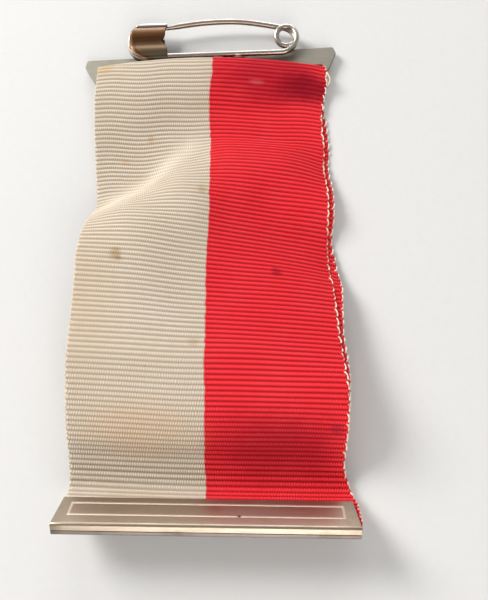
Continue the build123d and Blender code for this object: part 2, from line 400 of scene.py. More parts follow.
def metalFinish(name, bright, dull, rough, grain, grime=None, grimeShare=0.35, shaded=None):
    # plated sheet or wire: fine rubbing marks one way, cloudy tarnish, a few scratches
    f = Finish(name, Metallic=1.0)
    rubbed = f.clouds(f.stretched(*grain), 1.0, 4.0, 0.65)
    cloudy = f.clouds(f.stretched(*metal["clouds"]), 1.0, 4.0, 0.6)
    spots = f.clouds(f.stretched(*metal["spots"]), 1.0, 4.0, 0.6)
    cells = {"Vector": f.stretched(*metal["scratches"], turn=metal["scratchTurn"]), "Scale": 1.0}
    scratch = f.node("ShaderNodeTexVoronoi", {"feature": "DISTANCE_TO_EDGE"}, cells)
    line = 1 - scratch.between(0.0, metal["scratchWide"])
    colour = f.colourMix((rubbed * 0.6 + cloudy * 0.6 - 0.2).clamped(), linear(*bright), linear(*dull))
    dirt = cloudy.between(0.52, 0.75) * grimeShare + spots.between(0.6, 0.75) * grimeShare * 0.6
    colour = f.colourMix(dirt, colour, linear(*(grime or dull)))
    # painted shade where the piece's shaded attribute is set
    if shaded:
        colour = f.colourMix(f.value("shaded"), colour, linear(*shaded))
    f.give("Base Color", colour)
    uneven = (rubbed - 0.5) * metal["rubbedRough"] + cloudy.between(0.4, 0.8) * metal["cloudyRough"]
    f.give("Roughness", (uneven + rough - line * metal["scratchRough"]).clamped())
    f.bump(rubbed * 0.7 + line * 0.3, metal["bump"], 0.5)
    return f.material


# Colours down the pressed cap, by millimetres from its rim: painted highlights, shade and reflections in
# bands, a bright rim highlight, a dark shade line under it, a tan highlight band and dark brown reflections
# below
capLightBands = (
    (0.0, (214, 210, 204)),
    (0.50, (236, 228, 218)),
    (0.70, (74, 48, 34)),
    (0.84, (80, 54, 40)),
    (0.98, (168, 142, 128)),
    (1.25, (122, 94, 76)),
    (1.62, (176, 140, 104)),
    (2.05, (128, 88, 58)),
    (2.7, (96, 64, 40)),
    (3.4, (76, 50, 36)),
    (4.2, (92, 70, 48)),
    (5.0, (102, 80, 58)),
    (5.6, (80, 66, 50)),
    (7.0, (96, 88, 74)),
)


def capFinish():
    f = Finish("pressedCap", Metallic=1.0)
    rubbed = f.clouds(f.stretched(400, 2600, 2600), 1.0, 4.0, 0.6)
    deepest = capLightBands[-1][0]
    depth = f.value("depth") / deepest + (rubbed - 0.5) * 0.012
    # the painted highlight, shade and reflection bands, by depth from the rim
    stops = [(at / deepest, linear(*shade)) for at, shade in capLightBands]
    bands = f.node("ShaderNodeValToRGB", {"stops": stops}, {"Fac": depth})
    f.give("Base Color", f.colourMix(rubbed.between(0.45, 0.8) * 0.25, bands, linear(120, 92, 64)))
    f.give("Roughness", 0.34 + (rubbed - 0.5) * 0.2)
    f.bump(rubbed, 0.00001, 0.5)
    return f.material


finishes = {
    "ribbon": clothFinish(),
    "whiteThread": threadFinish("selvedgeWhite", (238, 228, 214)),
    "creamThread": threadFinish("selvedgeCream", (214, 196, 164)),
    "plate": metalFinish("satinPlate", (162, 158, 147), (132, 128, 117), 0.64, (300, 6000, 3000)),
    # the wire's shaded colour is painted shade and warm reflection on its side turned to the ribbon
    "wire": metalFinish(
        "brightWire", (226, 220, 212), (176, 164, 154), 0.26, (500, 500, 500),
        grime=(140, 104, 84), grimeShare=0.25, shaded=(120, 100, 90),
    ),
    "cap": capFinish(),
    "solder": metalFinish("solderBead", (214, 214, 208), (150, 148, 142), 0.34, (2500, 2500, 2500)),
    "bar": metalFinish(
        "satinBar", (182, 166, 150), (146, 130, 114), 0.36, (260, 7000, 3500),
        grime=(150, 128, 104), grimeShare=0.4,
    ),
    # its shaded colour is painted shade in a small nick of the raised line
    "barLine": metalFinish(
        "rubbedLine", (218, 204, 190), (186, 168, 152), 0.5, (900, 900, 900), shaded=(40, 30, 26),
    ),
    "barBack": metalFinish("dullBarBack", (134, 124, 120), (98, 89, 86), 0.46, (260, 7000, 3500)),
}
print("finishes made")

ribbon = {
    "halfWidth": 18.65,
    "stepsPerRib": 6,
    "columns": 44,
    "layerGap": 0.55,         # middle of one layer to the middle of the other
    "halfThickness": 0.19,
    "tailRib": 108.4,         # the cloth's end, inside the lower bar
    "cutRib": 50,             # where the upper and the lower piece meet
    "frontRib": 4,            # nearest ribs to the fold that still lie on the relief,
    "backRib": 8,             # in front and behind
    "evenRibs": 5,            # first ribs of the fold, which keep their pitch exactly
    "groundZ": 0.225,
    "railEdge": -1.9,         # distance along the object where the back layer leaves the ground,
    "railSlope": 0.0523,      # how far it moves per millimetre across,
    "liftOver": 5.5,          # and how long that takes
    "mouthIn": 0.358,         # the lower bar's mouth to the cloth's rib there
    "mouthRibs": 4.2,         # ribs that the lower bar alone shapes
    "mouthBlend": 3.0,
    "colourBlend": 1.5,
    "smoothings": 4,          # of the direction that the layers are set apart in
    "step": 0.1,              # ribs between the relief's rows
    "loopSamples": 400,
    "web": 0.10,
    "ribHeight": 0.145,
    "ribShape": 1.1,
    "edgeRoll": 0.26,
    "scallop": 0.16,
    "cutEnds": (0, 0.9, 1),        # thickness of the last rows at a cut end,
    "fadeIn": (0.0, 0.8, 0.95),    # and where a piece runs on just under its neighbour
}

# Height of the front layer over the ground at a rib, from its cream edge to its red edge
reliefStations = (-1, -0.6, -0.2, 0.2, 0.6, 1)
relief = (
    (4, 3.5, 3.9, 3.8, 3.5, 2.8, 1.7),
    (9, 3.4, 3.5, 3.2, 2.5, 1.7, 1.05),
    (14, 2.6, 2.4, 1.9, 1.3, 1.05, 1.0),
    (19, 2.0, 1.4, 1.2, 1.3, 1.0, 1.0),
    (24, 1.4, 1.0, 1.7, 2.7, 2.4, 1.0),
    (29, 1.0, 1.2, 3.2, 3.9, 3.4, 1.7),
    (33, 1.0, 2.3, 4.6, 4.3, 3.3, 2.4),
    (37, 1.8, 4.2, 5.8, 4.5, 3.0, 2.7),
    (41, 3.9, 6.0, 6.4, 4.5, 2.8, 1.9),
    (45, 5.9, 7.4, 6.7, 4.7, 2.8, 1.2),
    (50, 7.8, 8.2, 6.9, 5.2, 3.5, 1.6),
    (56, 8.7, 8.4, 7.2, 5.9, 4.8, 3.3),
    (62, 8.4, 8.4, 7.5, 6.6, 5.7, 4.6),
    (68, 8.5, 8.7, 8.3, 7.6, 6.6, 5.7),
    (73, 8.4, 8.6, 8.6, 8.4, 7.6, 6.9),
    (78, 7.4, 7.5, 7.7, 7.8, 7.9, 7.8),
    (84, 5.9, 6.0, 6.2, 6.2, 6.3, 6.7),
    (90, 3.9, 4.0, 4.0, 4.0, 3.9, 4.2),
    (94, 2.2, 2.2, 2.1, 2.2, 2.2, 2.4),
    (97, 1.4, 1.4, 1.4, 1.4, 1.4, 1.5),
)
# The same near the lower bar, by ribs from its mouth, the same all across
mouthRise = (
    (-7, 6.90), (-3, 4.668), (0, 2.996), (1.2, 2.325), (2.2, 1.80), (3.2, 1.37), (4.2, 1.22), (5.2, 1.3),
)
mouthRib = ((-1, 103.4), (0, 102.75), (1, 102.7))      # where the cloth enters the lower bar
# By ribs: where the colours meet, how far the cloth reaches from there to its cream and its red
# edge, and how far the back layer lies to the right
middleLine = (
    (0, 0.25), (4, 0.2), (9, -0.25), (13, -0.35), (24, -0.1), (42, -0.05),
    (54, -0.38), (78, -0.38), (90, -0.52), (95, -0.6), (99, -0.45), (109, -0.4),
)
creamHalf = (
    (0, 19.0), (4, 18.95), (9, 18.65), (40, 18.55), (50, 18.42), (66, 18.42),
    (72, 18.55), (79, 18.85), (90, 18.85), (95, 18.7), (109, 18.65),
)
redHalf = (
    (0, 19.1), (6, 19.1), (9, 18.95), (13, 18.45), (20, 18.4), (40, 18.6), (56, 18.85), (66, 18.9),
    (73, 19.05), (80, 19.25), (86, 19.3), (92, 19.15), (95, 19.1), (98, 19.5), (101, 20.05),
    (103, 20.35), (104, 20.35), (109, 20.3),
)
backShift = (
    (0, 0), (9, 0), (12, 0.45), (15, 0.75), (24, 0.9), (36, 0.95), (44, 0.8), (50, 1.4),
    (55, 1.6), (60, 1.2), (67, 0.75), (73, 0.65), (79, 0.3), (84, 0.05), (109, 0),
)

# The slanting fold where the upper part dips behind the lower: rib and distance across at each end
crease = {
    "from": (41.5, -18.8),
    "to": (21.0, -2.5),
    "width": 1.5,
    "startFade": 3,
    "endFade": 4,
    "flattened": 0.55,        # share of a rib's height that is rubbed away
    # the painted shade line beside the fold: its offset, width, where it ends and over how far it fades
    "lineOff": 0.75,
    "lineWidth": 0.28,
    "lineEnd": 9,
    "lineFade": 6,
}

# Middle of the cloth round the top bar's near rail: distance along the object and height, at the
# cream edge, the middle and the red edge
loopLine = (
    ((1.25, 3.20), (2.35, 3.50), (1.25, 1.52)),
    ((2.05, 2.80), (3.52, 3.10), (2.45, 1.50)),
    ((2.40, 2.20), (3.98, 2.38), (3.08, 1.22)),
    ((2.35, 1.72), (3.62, 1.72), (3.20, 0.98)),
    ((1.98, 1.52), (3.00, 1.54), (3.21, 0.86)),
    ((1.25, 0.95), (2.25, 0.95), (3.18, 0.72)),
    ((0.87, 0.38), (1.87, 0.38), (2.86, 0.36)),
    ((0.05, 0.225), (1.05, 0.225), (2.05, 0.225)),
)


def smoothLine(knots, values, at):
    # values carried smoothly from knot to knot, without overshooting
    knots = np.asarray(knots, float)
    values = np.asarray(values, float)
    flat = values.reshape(len(knots), -1)
    gaps = np.diff(knots)[:, None]
    slopes = np.diff(flat, axis=0) / gaps
    bend = np.zeros_like(flat)
    before, after = slopes[:-1], slopes[1:]
    near, far = gaps[:-1] + 2 * gaps[1:], 2 * gaps[:-1] + gaps[1:]
    same = before * after > 0
    safeBefore, safeAfter = np.where(same, before, 1), np.where(same, after, 1)
    bend[1:-1] = np.where(same, (near + far) / (near / safeBefore + far / safeAfter), 0)
    bend[0], bend[-1] = slopes[0], slopes[-1]
    at = np.clip(np.asarray(at, float), knots[0], knots[-1])
    cell = np.clip(np.searchsorted(knots, at, side="right") - 1, 0, len(knots) - 2)
    width = gaps[cell, 0][:, None]
    t = ((at - knots[cell]) / gaps[cell, 0])[:, None]
    result = (
        (2 * t**3 - 3 * t**2 + 1) * flat[cell]
        + (t**3 - 2 * t**2 + t) * width * bend[cell]
        + (3 * t**2 - 2 * t**3) * flat[cell + 1]
        + (t**3 - t**2) * width * bend[cell + 1]
    )
    return result.reshape((len(at),) + values.shape[1:])


def pairs(table, at):
    return smoothLine([row[0] for row in table], [row[1] for row in table], at)


def roundLine(knots, points, at):
    # a round curve through every point (Barry and Goldman's way, four points at a time)
    cell = np.clip(np.searchsorted(knots, at, side="right") - 1, 1, len(knots) - 3)
    t = at[:, None]
    k = [knots[cell + i][:, None] for i in (-1, 0, 1, 2)]
    p = [points[cell + i] for i in (-1, 0, 1, 2)]
    a = [(p[i] * (k[i + 1] - t) + p[i + 1] * (t - k[i])) / (k[i + 1] - k[i]) for i in range(3)]
    b = [(a[i] * (k[i + 2] - t) + a[i + 1] * (t - k[i])) / (k[i + 2] - k[i]) for i in range(2)]
    return (b[0] * (k[2] - t) + b[1] * (t - k[1])) / (k[2] - k[1])


def threeWay(values, share):
    # a value given at the cream edge, the middle and the red edge, carried across in one bow
    left, middle, right = (np.asarray(v, float) for v in values)
    share = np.asarray(share, float)[:, None]
    return middle + share * (right - left) / 2 + share**2 * ((left + right) / 2 - middle)


def ease(t):
    t = np.clip(t, 0, 1)
    return t * t * (3 - 2 * t)


def gone(line):
    # the distance gone along a line at each of its points
    return np.concatenate([[0], np.cumsum(np.linalg.norm(np.diff(line, axis=0), axis=1))])


def unit(vectors):
    return vectors / np.linalg.norm(vectors, axis=-1, keepdims=True)


def columnsAcross(half, count, roll):
    # distances from the middle line, closer together at the two selvedges
    inner = np.linspace(-half + roll * 1.3, half - roll * 1.3, count)
    edge = half - roll * np.array([0.0, 0.07, 0.25, 0.5, 0.85])
    return np.concatenate([-edge, inner, edge[::-1]])


def frontLayer(across):
    # the front layer's surface: ribs and grid of points, before its columns are spread
    pitch = cloth["ribPitch"] * ribbon["step"]
    share = across / ribbon["halfWidth"]
    ribs = np.arange(ribbon["frontRib"] - 2, ribbon["tailRib"] + ribbon["step"] / 2, ribbon["step"])
    rows = smoothLine([r[0] for r in relief], [r[1:] for r in relief], ribs)
    heights = smoothLine(reliefStations, rows.T, share).T
    mouth = pairs(mouthRib, share)
    shaped = ribbon["mouthRibs"]
    for column, at in enumerate(mouth):
        ribsLeft = at - ribs
        rise = pairs(mouthRise, ribsLeft)
        toRise = ease((shaped + ribbon["mouthBlend"] - ribsLeft) / ribbon["mouthBlend"])
        blended = heights[:, column] + (rise - heights[:, column]) * toRise
        heights[:, column] = np.where(ribsLeft < shaped, rise, blended)
    x = pairs(middleLine, ribs)[:, None] + np.zeros_like(heights)
    y = np.zeros_like(heights)
    drop = np.diff(heights, axis=0)
    y[1:] = -np.cumsum(np.sqrt(np.maximum(pitch**2 - drop**2, 1e-8)), axis=0)
    slant = math.sin(math.radians(lowerBar["turn"]))
    for column, at in enumerate(mouth):
        entry = lowerBar["mouthY"] + ribbon["mouthIn"] + slant * across[column]
        y[:, column] += entry - np.interp(at, ribs, y[:, column])
    return ribs, heights, x, y


def clothLayers(across):
    # the middle surfaces of the two layers; the cloth keeps its length both ways
    ribs, heights, x, y = frontLayer(across)
    between = across[:-1] + np.diff(across) / 2
    onRed = ease(between / ribbon["colourBlend"] + 0.5)[None, :]
    reach = pairs(creamHalf, ribs)[:, None] * (1 - onRed) + pairs(redHalf, ribs)[:, None] * onRed
    spread = np.diff(across)[None, :] * reach / ribbon["halfWidth"]
    level = spread**2 - np.diff(heights, axis=1) ** 2 - np.diff(y, axis=1) ** 2
    x[:, 1:] += np.cumsum(np.sqrt(np.maximum(level, (0.5 * spread) ** 2)), axis=1)
    for row, middle in enumerate(pairs(middleLine, ribs)):
        x[row] += middle - np.interp(0, across, x[row])
    top = np.stack([x, y, heights], axis=2)
    normal = unit(np.cross(np.gradient(top, axis=0), np.gradient(top, axis=1)))
    for _ in range(ribbon["smoothings"]):
        normal[1:-1] = (normal[:-2] + 2 * normal[1:-1] + normal[2:]) / 4
    front = top - normal * ribbon["halfThickness"]
    back = front - normal * ribbon["layerGap"]
    back[:, :, 0] += pairs(backShift, ribs)[:, None]
    leaving = ribbon["railEdge"] + ribbon["railSlope"] * back[:, :, 0]
    lift = ease((leaving - back[:, :, 1]) / ribbon["liftOver"])
    ground = ribbon["groundZ"]
    back[:, :, 2] = ground + (np.maximum(back[:, :, 2], ground) - ground) * lift
    return ribs, front, back


def clothStrip():
    # the whole cloth as one grid, from the front layer's end over the top to the back layer's end
    pitch, steps = cloth["ribPitch"], ribbon["stepsPerRib"]
    first, last, even = ribbon["frontRib"], ribbon["backRib"], ribbon["evenRibs"]
    across = columnsAcross(ribbon["halfWidth"], ribbon["columns"], ribbon["edgeRoll"])
    ribs, front, back = clothLayers(across)

    def rowsAt(layer, wanted):
        columns = [[np.interp(wanted, ribs, layer[:, c, a]) for a in range(3)] for c in range(len(across))]
        return np.array(columns).transpose(2, 0, 1)

    start = rowsAt(front, [first + 1, first])
    bows = [threeWay(station, across / ribbon["halfWidth"]) for station in loopLine]
    control = [*start, *(np.column_stack([start[1][:, 0], bow]) for bow in bows)]
    control = np.array([*control, *rowsAt(back, [last, last + 1])])
    columns = []
    for c in range(len(across)):
        line = control[:, c]
        knots = np.concatenate([[0], np.cumsum(np.sqrt(np.linalg.norm(np.diff(line, axis=0), axis=1)))])
        columns.append(roundLine(knots, line, np.linspace(knots[1], knots[-2], ribbon["loopSamples"])))
    lengths = [gone(column)[-1] for column in columns]
    count = int(round(np.mean(lengths) / pitch))
    wanted = np.arange(1, count * steps) / steps
    loop = []
    for line, length in zip(columns, lengths):
        stretched = even * pitch + (length - even * pitch) * (wanted - even) / (count - even)
        spent = np.where(wanted <= even, wanted * pitch, stretched)
        loop.append(np.column_stack([np.interp(spent, gone(line), line[:, a]) for a in range(3)]))
    tail = round(ribbon["tailRib"] * steps)
    frontRibs = np.arange(tail, first * steps - 1, -1) / steps
    backRibs = np.arange(last * steps, tail + 1) / steps
    grid = np.concatenate([rowsAt(front, frontRibs), np.stack(loop, axis=1), rowsAt(back, backRibs)])
    along = np.concatenate([frontRibs, first - wanted, first - count - (backRibs - last)])
    return across, along, grid


def newTree(name, inputs):
    tree = bpy.data.node_groups.new(name, "GeometryNodeTree")
    tree.interface.new_socket("Geometry", in_out="OUTPUT", socket_type="NodeSocketGeometry")
    for label, kind in {"Geometry": "Geometry", **inputs, "Material": "Material"}.items():
        tree.interface.new_socket(label, in_out="INPUT", socket_type="NodeSocket" + kind)
    net = Net(tree)
    start = tree.nodes.new("NodeGroupInput")
    given = {s.name: Socket(net, s, start) for s in start.outputs if s.name}
    return tree, net, given


def endTree(net, geometry, material):
    real = net.node("GeometryNodeRealizeInstances", None, {"Geometry": geometry})
    coloured = net.node("GeometryNodeSetMaterial", None, {"Geometry": real, "Material": material})
    net.node("NodeGroupOutput", None, {"Geometry": coloured})


def withTree(draft, tree, values):
    modifier = draft.modifiers.new(tree.name, "NODES")
    modifier.node_group = tree
    for item in tree.interface.items_tree:
        if item.item_type == "SOCKET" and item.in_out == "INPUT" and item.name in values:
            modifier[item.identifier] = values[item.name]
    return settled(draft)


def clothTree():
    # both faces of the cloth from its middle surface, with a raised rib over each weft cord
    sizes = ("Half Width", "Web", "Rib Height", "Rib Shape", "Edge Roll", "Scallop", "Flattened")
    tree, net, given = newTree("ribbedClothTree", {size: "Float" for size in sizes})
    along, across = net.kept("along"), net.kept("across")
    crest = abs((along * math.pi).sine()) ** given["Rib Shape"]
    inward = (abs(across) - (given["Half Width"] - given["Edge Roll"])) / given["Edge Roll"]
    inward = inward.maths("MAXIMUM", 0.0).maths("MINIMUM", 1.0)
    roll = (1 - inward**2.0).maths("SQRT")
    ribs = given["Rib Height"] * crest * (1 - net.kept("crushed") * given["Flattened"])
    height = (given["Web"] * 0.5 + ribs) * roll * net.kept("closing") * mm
    push = crest * given["Scallop"] * inward * across.maths("SIGN") * mm
    slide = net.scaled(net.kept("sideways", "FLOAT_VECTOR"), push)
    normal = net.node("GeometryNodeInputNormal")
    faces = []
    for side in (1.0, -1.0):
        lift = net.scaled(normal, height * side)
        offset = net.node("ShaderNodeVectorMath", {"operation": "ADD"}, {0: lift, 1: slide})
        moved = {"Geometry": given["Geometry"], "Offset": offset}
        face = net.node("GeometryNodeSetPosition", None, moved)
        faces.append(face if side > 0 else net.node("GeometryNodeFlipFaces", None, {"Mesh": face}))
    joined = net.node("GeometryNodeJoinGeometry", None, {"Geometry": faces[0]})
    net.tree.links.new(faces[1].link, joined.made.inputs["Geometry"])
    closed = net.node("GeometryNodeMergeByDistance", None, {"Geometry": joined, "Distance": 2e-6})
    endTree(net, closed, given["Material"])
    return tree


def crushedAt(alongs, acrosses):
    # how far the ribs are rubbed flat along the slanting fold, and the painted shade line beside it
    (ribA, sideA), (ribB, sideB) = crease["from"], crease["to"]
    pitch = cloth["ribPitch"]
    way = np.array([(ribB - ribA) * pitch, sideB - sideA])
    length = np.linalg.norm(way)
    way /= length
    down = (alongs - ribA) * pitch * way[0] + (acrosses - sideA) * way[1]
    off = (alongs - ribA) * pitch * way[1] - (acrosses - sideA) * way[0]
    rubbed = np.exp(-((off / crease["width"]) ** 2)) * ease(down / crease["startFade"] + 1)
    rubbed *= ease((length - down) / crease["endFade"] + 0.5)
    line = np.exp(-(((off - crease["lineOff"]) / crease["lineWidth"]) ** 2))
    return rubbed, line * ease(down + 1) * ease((crease["lineEnd"] - down) / crease["lineFade"])


def clothPiece(name, parts):
    # parts are row ranges of the cloth's grid
    points, faces, alongs, acrosses, closings, sides = [], [], [], [], [], []
    width = len(across)
    start = 0
    for low, high in parts:
        rows = grid[low:high]
        count = len(rows)
        points.append(rows.reshape(-1, 3))
        faces += skin(count, width, start=start)
        start += count * width
        alongs.append(np.repeat(along[low:high], width))
        acrosses.append(np.tile(across, count))
        closing = np.ones((count, width))
        closing[:3] = np.array(ribbon["fadeIn" if low > 0 else "cutEnds"])[:, None]
        closing[-3:] = np.array(ribbon["fadeIn" if high < len(along) else "cutEnds"])[::-1][:, None]
        closings.append(closing.ravel())
        sides.append(unit(np.gradient(rows, axis=1)).reshape(-1, 3))
    draft = makeMesh(name, np.concatenate(points), faces)
    alongs, acrosses = np.concatenate(alongs), np.concatenate(acrosses)
    rubbed, line = crushedAt(alongs, acrosses)
    kept = {"along": alongs, "across": acrosses, "closing": np.concatenate(closings)}
    for label, values in {**kept, "crushed": rubbed, "creaseLine": line}.items():
        note(draft, label, values)
    note(draft, "sideways", np.concatenate(sides), "FLOAT_VECTOR")
    values = {
        "Half Width": ribbon["halfWidth"],
        "Web": ribbon["web"],
        "Rib Height": ribbon["ribHeight"],
        "Rib Shape": ribbon["ribShape"],
        "Edge Roll": ribbon["edgeRoll"],
        "Scallop": ribbon["scallop"],
        "Flattened": crease["flattened"],
        "Material": finishes["ribbon"],
    }
    return withTree(draft, ribbedTree, values)


across, along, grid = clothStrip()
ends = along[0] + along[-1]
cutFront = int(np.argmin(abs(along - ribbon["cutRib"])))
cutBack = int(np.argmin(abs(along + ribbon["cutRib"] - ends)))
ribbedTree = clothTree()
overlap = len(ribbon["fadeIn"])
ribbonUpper = clothPiece("ribbon_upper", [(cutFront - overlap, cutBack + overlap + 1)])
lowerParts = [(0, cutFront + overlap + 1), (cutBack - overlap, len(along))]
ribbonLower = clothPiece("ribbon_lower", lowerParts)
upperLength = (along[cutFront] - along[cutBack]) * cloth["ribPitch"]
lowerLength = (along[0] - along[cutFront] + along[cutBack] - along[-1]) * cloth["ribPitch"]
print("cloth woven", len(along), "rows", round(upperLength, 1), round(lowerLength, 1))

selvedge = {
    "everyRibs": 2,
    "threadRadius": 0.125,
    "segments": 6,
    "sides": 5,
    "seed": 11,
    "sunk": 0.10,             # each loop's ends, inside the cloth's edge
    "tiltLeast": (-0.20, -0.30, 0.08),      # radians
    "tiltMost": (0.20, 0.45, 0.42),
    # by thread, cream on the cream edge and white on the red: the cloth's column at the edge, one
    # further in, and a loop's size
    "cream": {"column": 0, "inner": 4, "reach": 0.13, "halfSpan": 0.34},
    "white": {"column": -1, "inner": -5, "reach": 0.21, "halfSpan": 0.58},
}


def loopTree():
    sizes = {"Thread Radius": "Float", "Segments": "Int", "Sides": "Int", "Seed": "Int"}
    tilts = {"Tilt Least": "Vector", "Tilt Most": "Vector"}
    tree, net, given = newTree("selvedgeLoopTree", {**sizes, **tilts})
    turn = {"Start Angle": -math.pi / 2, "Sweep Angle": math.pi}
    half = {"Resolution": given["Segments"], "Radius": 1.0, **turn}
    arc = net.node("GeometryNodeCurveArc", {"mode": "RADIUS"}, half)
    axes = {"primary_axis": "X", "secondary_axis": "Y"}
    ways = {0: net.kept("outward", "FLOAT_VECTOR"), 1: net.kept("onward", "FLOAT_VECTOR")}
    facing = net.node("FunctionNodeAxesToRotation", axes, ways)
    span = {0: given["Tilt Least"], 1: given["Tilt Most"], "Seed": given["Seed"]}
    tilt = net.node("FunctionNodeRandomValue", {"data_type": "FLOAT_VECTOR"}, span)
    tilted = {0: facing, 1: net.node("FunctionNodeEulerToRotation", None, {0: tilt})}
    facing = net.node("FunctionNodeRotateRotation", {"rotation_space": "LOCAL"}, tilted)
    points = net.node("GeometryNodeMeshToPoints", None, {0: given["Geometry"]})
    spots = {"Points": points, "Instance": arc, "Rotation": facing, "Scale": net.kept("size", "FLOAT_VECTOR")}
    copies = net.node("GeometryNodeInstanceOnPoints", None, spots)
    laid = net.node("GeometryNodeRealizeInstances", None, {"Geometry": copies})
    endTree(net, net.tube(laid, given["Thread Radius"], given["Sides"]), given["Material"])
    return tree


def loopsOn(part, rows, thread):
    edge = selvedge[thread]
    spots, outward, onward = [], [], []
    inside = [row for low, high in rows for row in range(low + 2, high - 2)]
    for row in inside:
        turns = along[row] / selvedge["everyRibs"]
        if abs(turns - round(turns) - 0.25) > 1e-3:
            continue
        out = unit(grid[row, edge["column"]] - grid[row, edge["inner"]])
        spots.append(grid[row, edge["column"]] - out * selvedge["sunk"])
        outward.append(out)
        onward.append(unit(grid[row + 2, edge["column"]] - grid[row - 2, edge["column"]]))
    draft = makeMesh(f"selvedge_{thread}_{part}", spots)
    size = (edge["reach"] * mm, edge["halfSpan"] * mm, edge["halfSpan"] * mm)
    for label, values in {"outward": outward, "onward": onward, "size": [size] * len(spots)}.items():
        note(draft, label, values, "FLOAT_VECTOR")
    values = {
        "Thread Radius": selvedge["threadRadius"],
        "Segments": selvedge["segments"],
        "Sides": selvedge["sides"],
        "Seed": selvedge["seed"],
        "Tilt Least": selvedge["tiltLeast"],
        "Tilt Most": selvedge["tiltMost"],
        "Material": finishes[thread + "Thread"],
    }
    return withTree(draft, stitchTree, values)


stitchTree = loopTree()
edgesUpper = [loopsOn("upper", [(cutFront, cutBack + 1)], thread) for thread in ("cream", "white")]
lowerRows = [(0, cutFront + 1), (cutBack, len(along))]
edgesLower = [loopsOn("lower", lowerRows, thread) for thread in ("cream", "white")]
print("selvedges stitched")


def wireTree():
    tree, net, given = newTree("roundWireTree", {"Wire Radius": "Float", "Profile Sides": "Int"})
    line = net.node("GeometryNodeMeshToCurve", None, {"Mesh": given["Geometry"]})
    wire = net.tube(line, given["Wire Radius"], given["Profile Sides"], net.kept("thick"))
    smooth = net.node("GeometryNodeSetShadeSmooth", None, {"Geometry": wire, "Shade Smooth": True})
    endTree(net, smooth, given["Material"])
    return tree


roundWire = wireTree()
undersideShade = {"tilt": 0.087, "from": 0.5, "over": 0.3}      # painted shade and warm reflection on the side of a wire that is turned to the ribbon


def wirePiece(name, line, share, radius, material, sides=14):
    # line: the wire's middle; share: how much of the radius it has at each point
    draft = makeMesh(name, line, edges=[(i, i + 1) for i in range(len(line) - 1)])
    note(draft, "thick", share)
    values = {"Wire Radius": radius, "Profile Sides": sides, "Material": material}
    piece = outwards(withTree(draft, roundWire, values))
    # the side turned to the ribbon is painted brown as shade and warm reflection
    facing = np.array([tuple(v.vector) for v in piece.data.vertex_normals])
    toRibbon = facing[:, 2] * undersideShade["tilt"] - facing[:, 1]
    note(piece, "shaded", ease((toRibbon - undersideShade["from"]) / undersideShade["over"]))
    return piece


fray = {
    "ribs": (1.6, 5.4),
    "out": 0.24,              # least distance from the cloth's edge,
    "bow": 0.42,              # and how much more at its widest
    "bowPower": 1.4,
    "up": 0.28,
    "radius": 0.12,
    "tip": 0.35,
    "tipLength": 0.15,        # share of the thread that thins to its tip
    "sides": 7,
}


def frayedThread():
    # one loose thread standing out from the red edge near the top
    low, high = fray["ribs"]
    rows = [row for row in range(cutFront, len(along)) if low <= along[row] <= high]
    line, share = [], []
    for row, t in zip(rows, np.linspace(0, 1, len(rows))):
        out = unit(grid[row, -1] - grid[row, -5])
        stand = fray["out"] + fray["bow"] * math.sin(math.pi * (1 - t) ** fray["bowPower"])
        line.append(grid[row, -1] + out * stand + (0, 0, fray["up"] * math.sin(math.pi * t)))
        share.append(fray["tip"] + (1 - fray["tip"]) * min(1, t / fray["tipLength"]))
    return wirePiece("frayed_thread", line, share, fray["radius"], finishes["creamThread"], fray["sides"])


edgesUpper.append(frayedThread())


def roundCorners(points, radii, steps=6):
    # a closed outline with each corner rounded
    points = [Vector(p) for p in points]
    made = []
    for i, corner in enumerate(points):
        before, after = points[i - 1], points[(i + 1) % len(points)]
        toBefore, toAfter = (before - corner).normalized(), (after - corner).normalized()
        half = toBefore.angle(toAfter) / 2
        # a corner takes no more than half of its shorter side
        room = 0.49 * min((before - corner).length, (after - corner).length)
        reach = min(radii[i] / math.tan(half), room)
        first, last = corner + toBefore * reach, corner + toAfter * reach
        for t in (step / steps for step in range(steps + 1)):
            made.append(tuple(first * (1 - t) ** 2 + corner * 2 * t * (1 - t) + last * t * t))
    return made


def stampedPlate(name, outlines):
    # flat outlines, holes among them, as plate with softly rounded edges
    thickness, edge = topBar["thickness"], topBar["edge"]
    curve = bpy.data.curves.new(name, "CURVE")
    curve.dimensions, curve.fill_mode = "2D", "BOTH"
    curve.extrude = (thickness / 2 - edge) * mm
    curve.bevel_depth, curve.bevel_resolution, curve.offset = edge * mm, 2, -edge * mm
    for outline in outlines:
        spline = curve.splines.new("POLY")
        spline.points.add(len(outline) - 1)
        for point, (x, y) in zip(spline.points, outline):
            point.co = (x * mm, y * mm, 0, 1)
        spline.use_cyclic_u = True
    piece = settled(inScene(name, curve))
    move = topPlace @ Matrix.Translation((0, 0, topBar["plateZ"] + thickness / 2))
    move.translation *= mm
    piece.data.transform(move)
    piece.data.materials.append(finishes["plate"])
    return piece


wingY = topBar["far"] - topBar["wingDrop"]
footHalf = topBar["halfWing"] - (wingY + topBar["nearRail"]) * topBar["wingSlope"]
rightSide = [(footHalf, -topBar["nearRail"]), (topBar["halfWing"], wingY), (topBar["halfTop"], topBar["far"])]
leftSide = [(-x, y) for x, y in reversed(rightSide)]
radii = [topBar["footCorner"], topBar["wingCorner"], topBar["corner"]]
plateOutline = roundCorners(leftSide + rightSide, radii[::-1] + radii)
slotSide, slotFar = topBar["slotHalf"], topBar["slotWidth"]
slotCorners = [(-slotSide, 0), (slotSide, 0), (slotSide, slotFar), (-slotSide, slotFar)]
slotOutline = roundCorners(slotCorners, [topBar["slotCorner"]] * 4)
plate = stampedPlate("top_plate_stamped", [plateOutline, slotOutline])
print("top bar stamped")

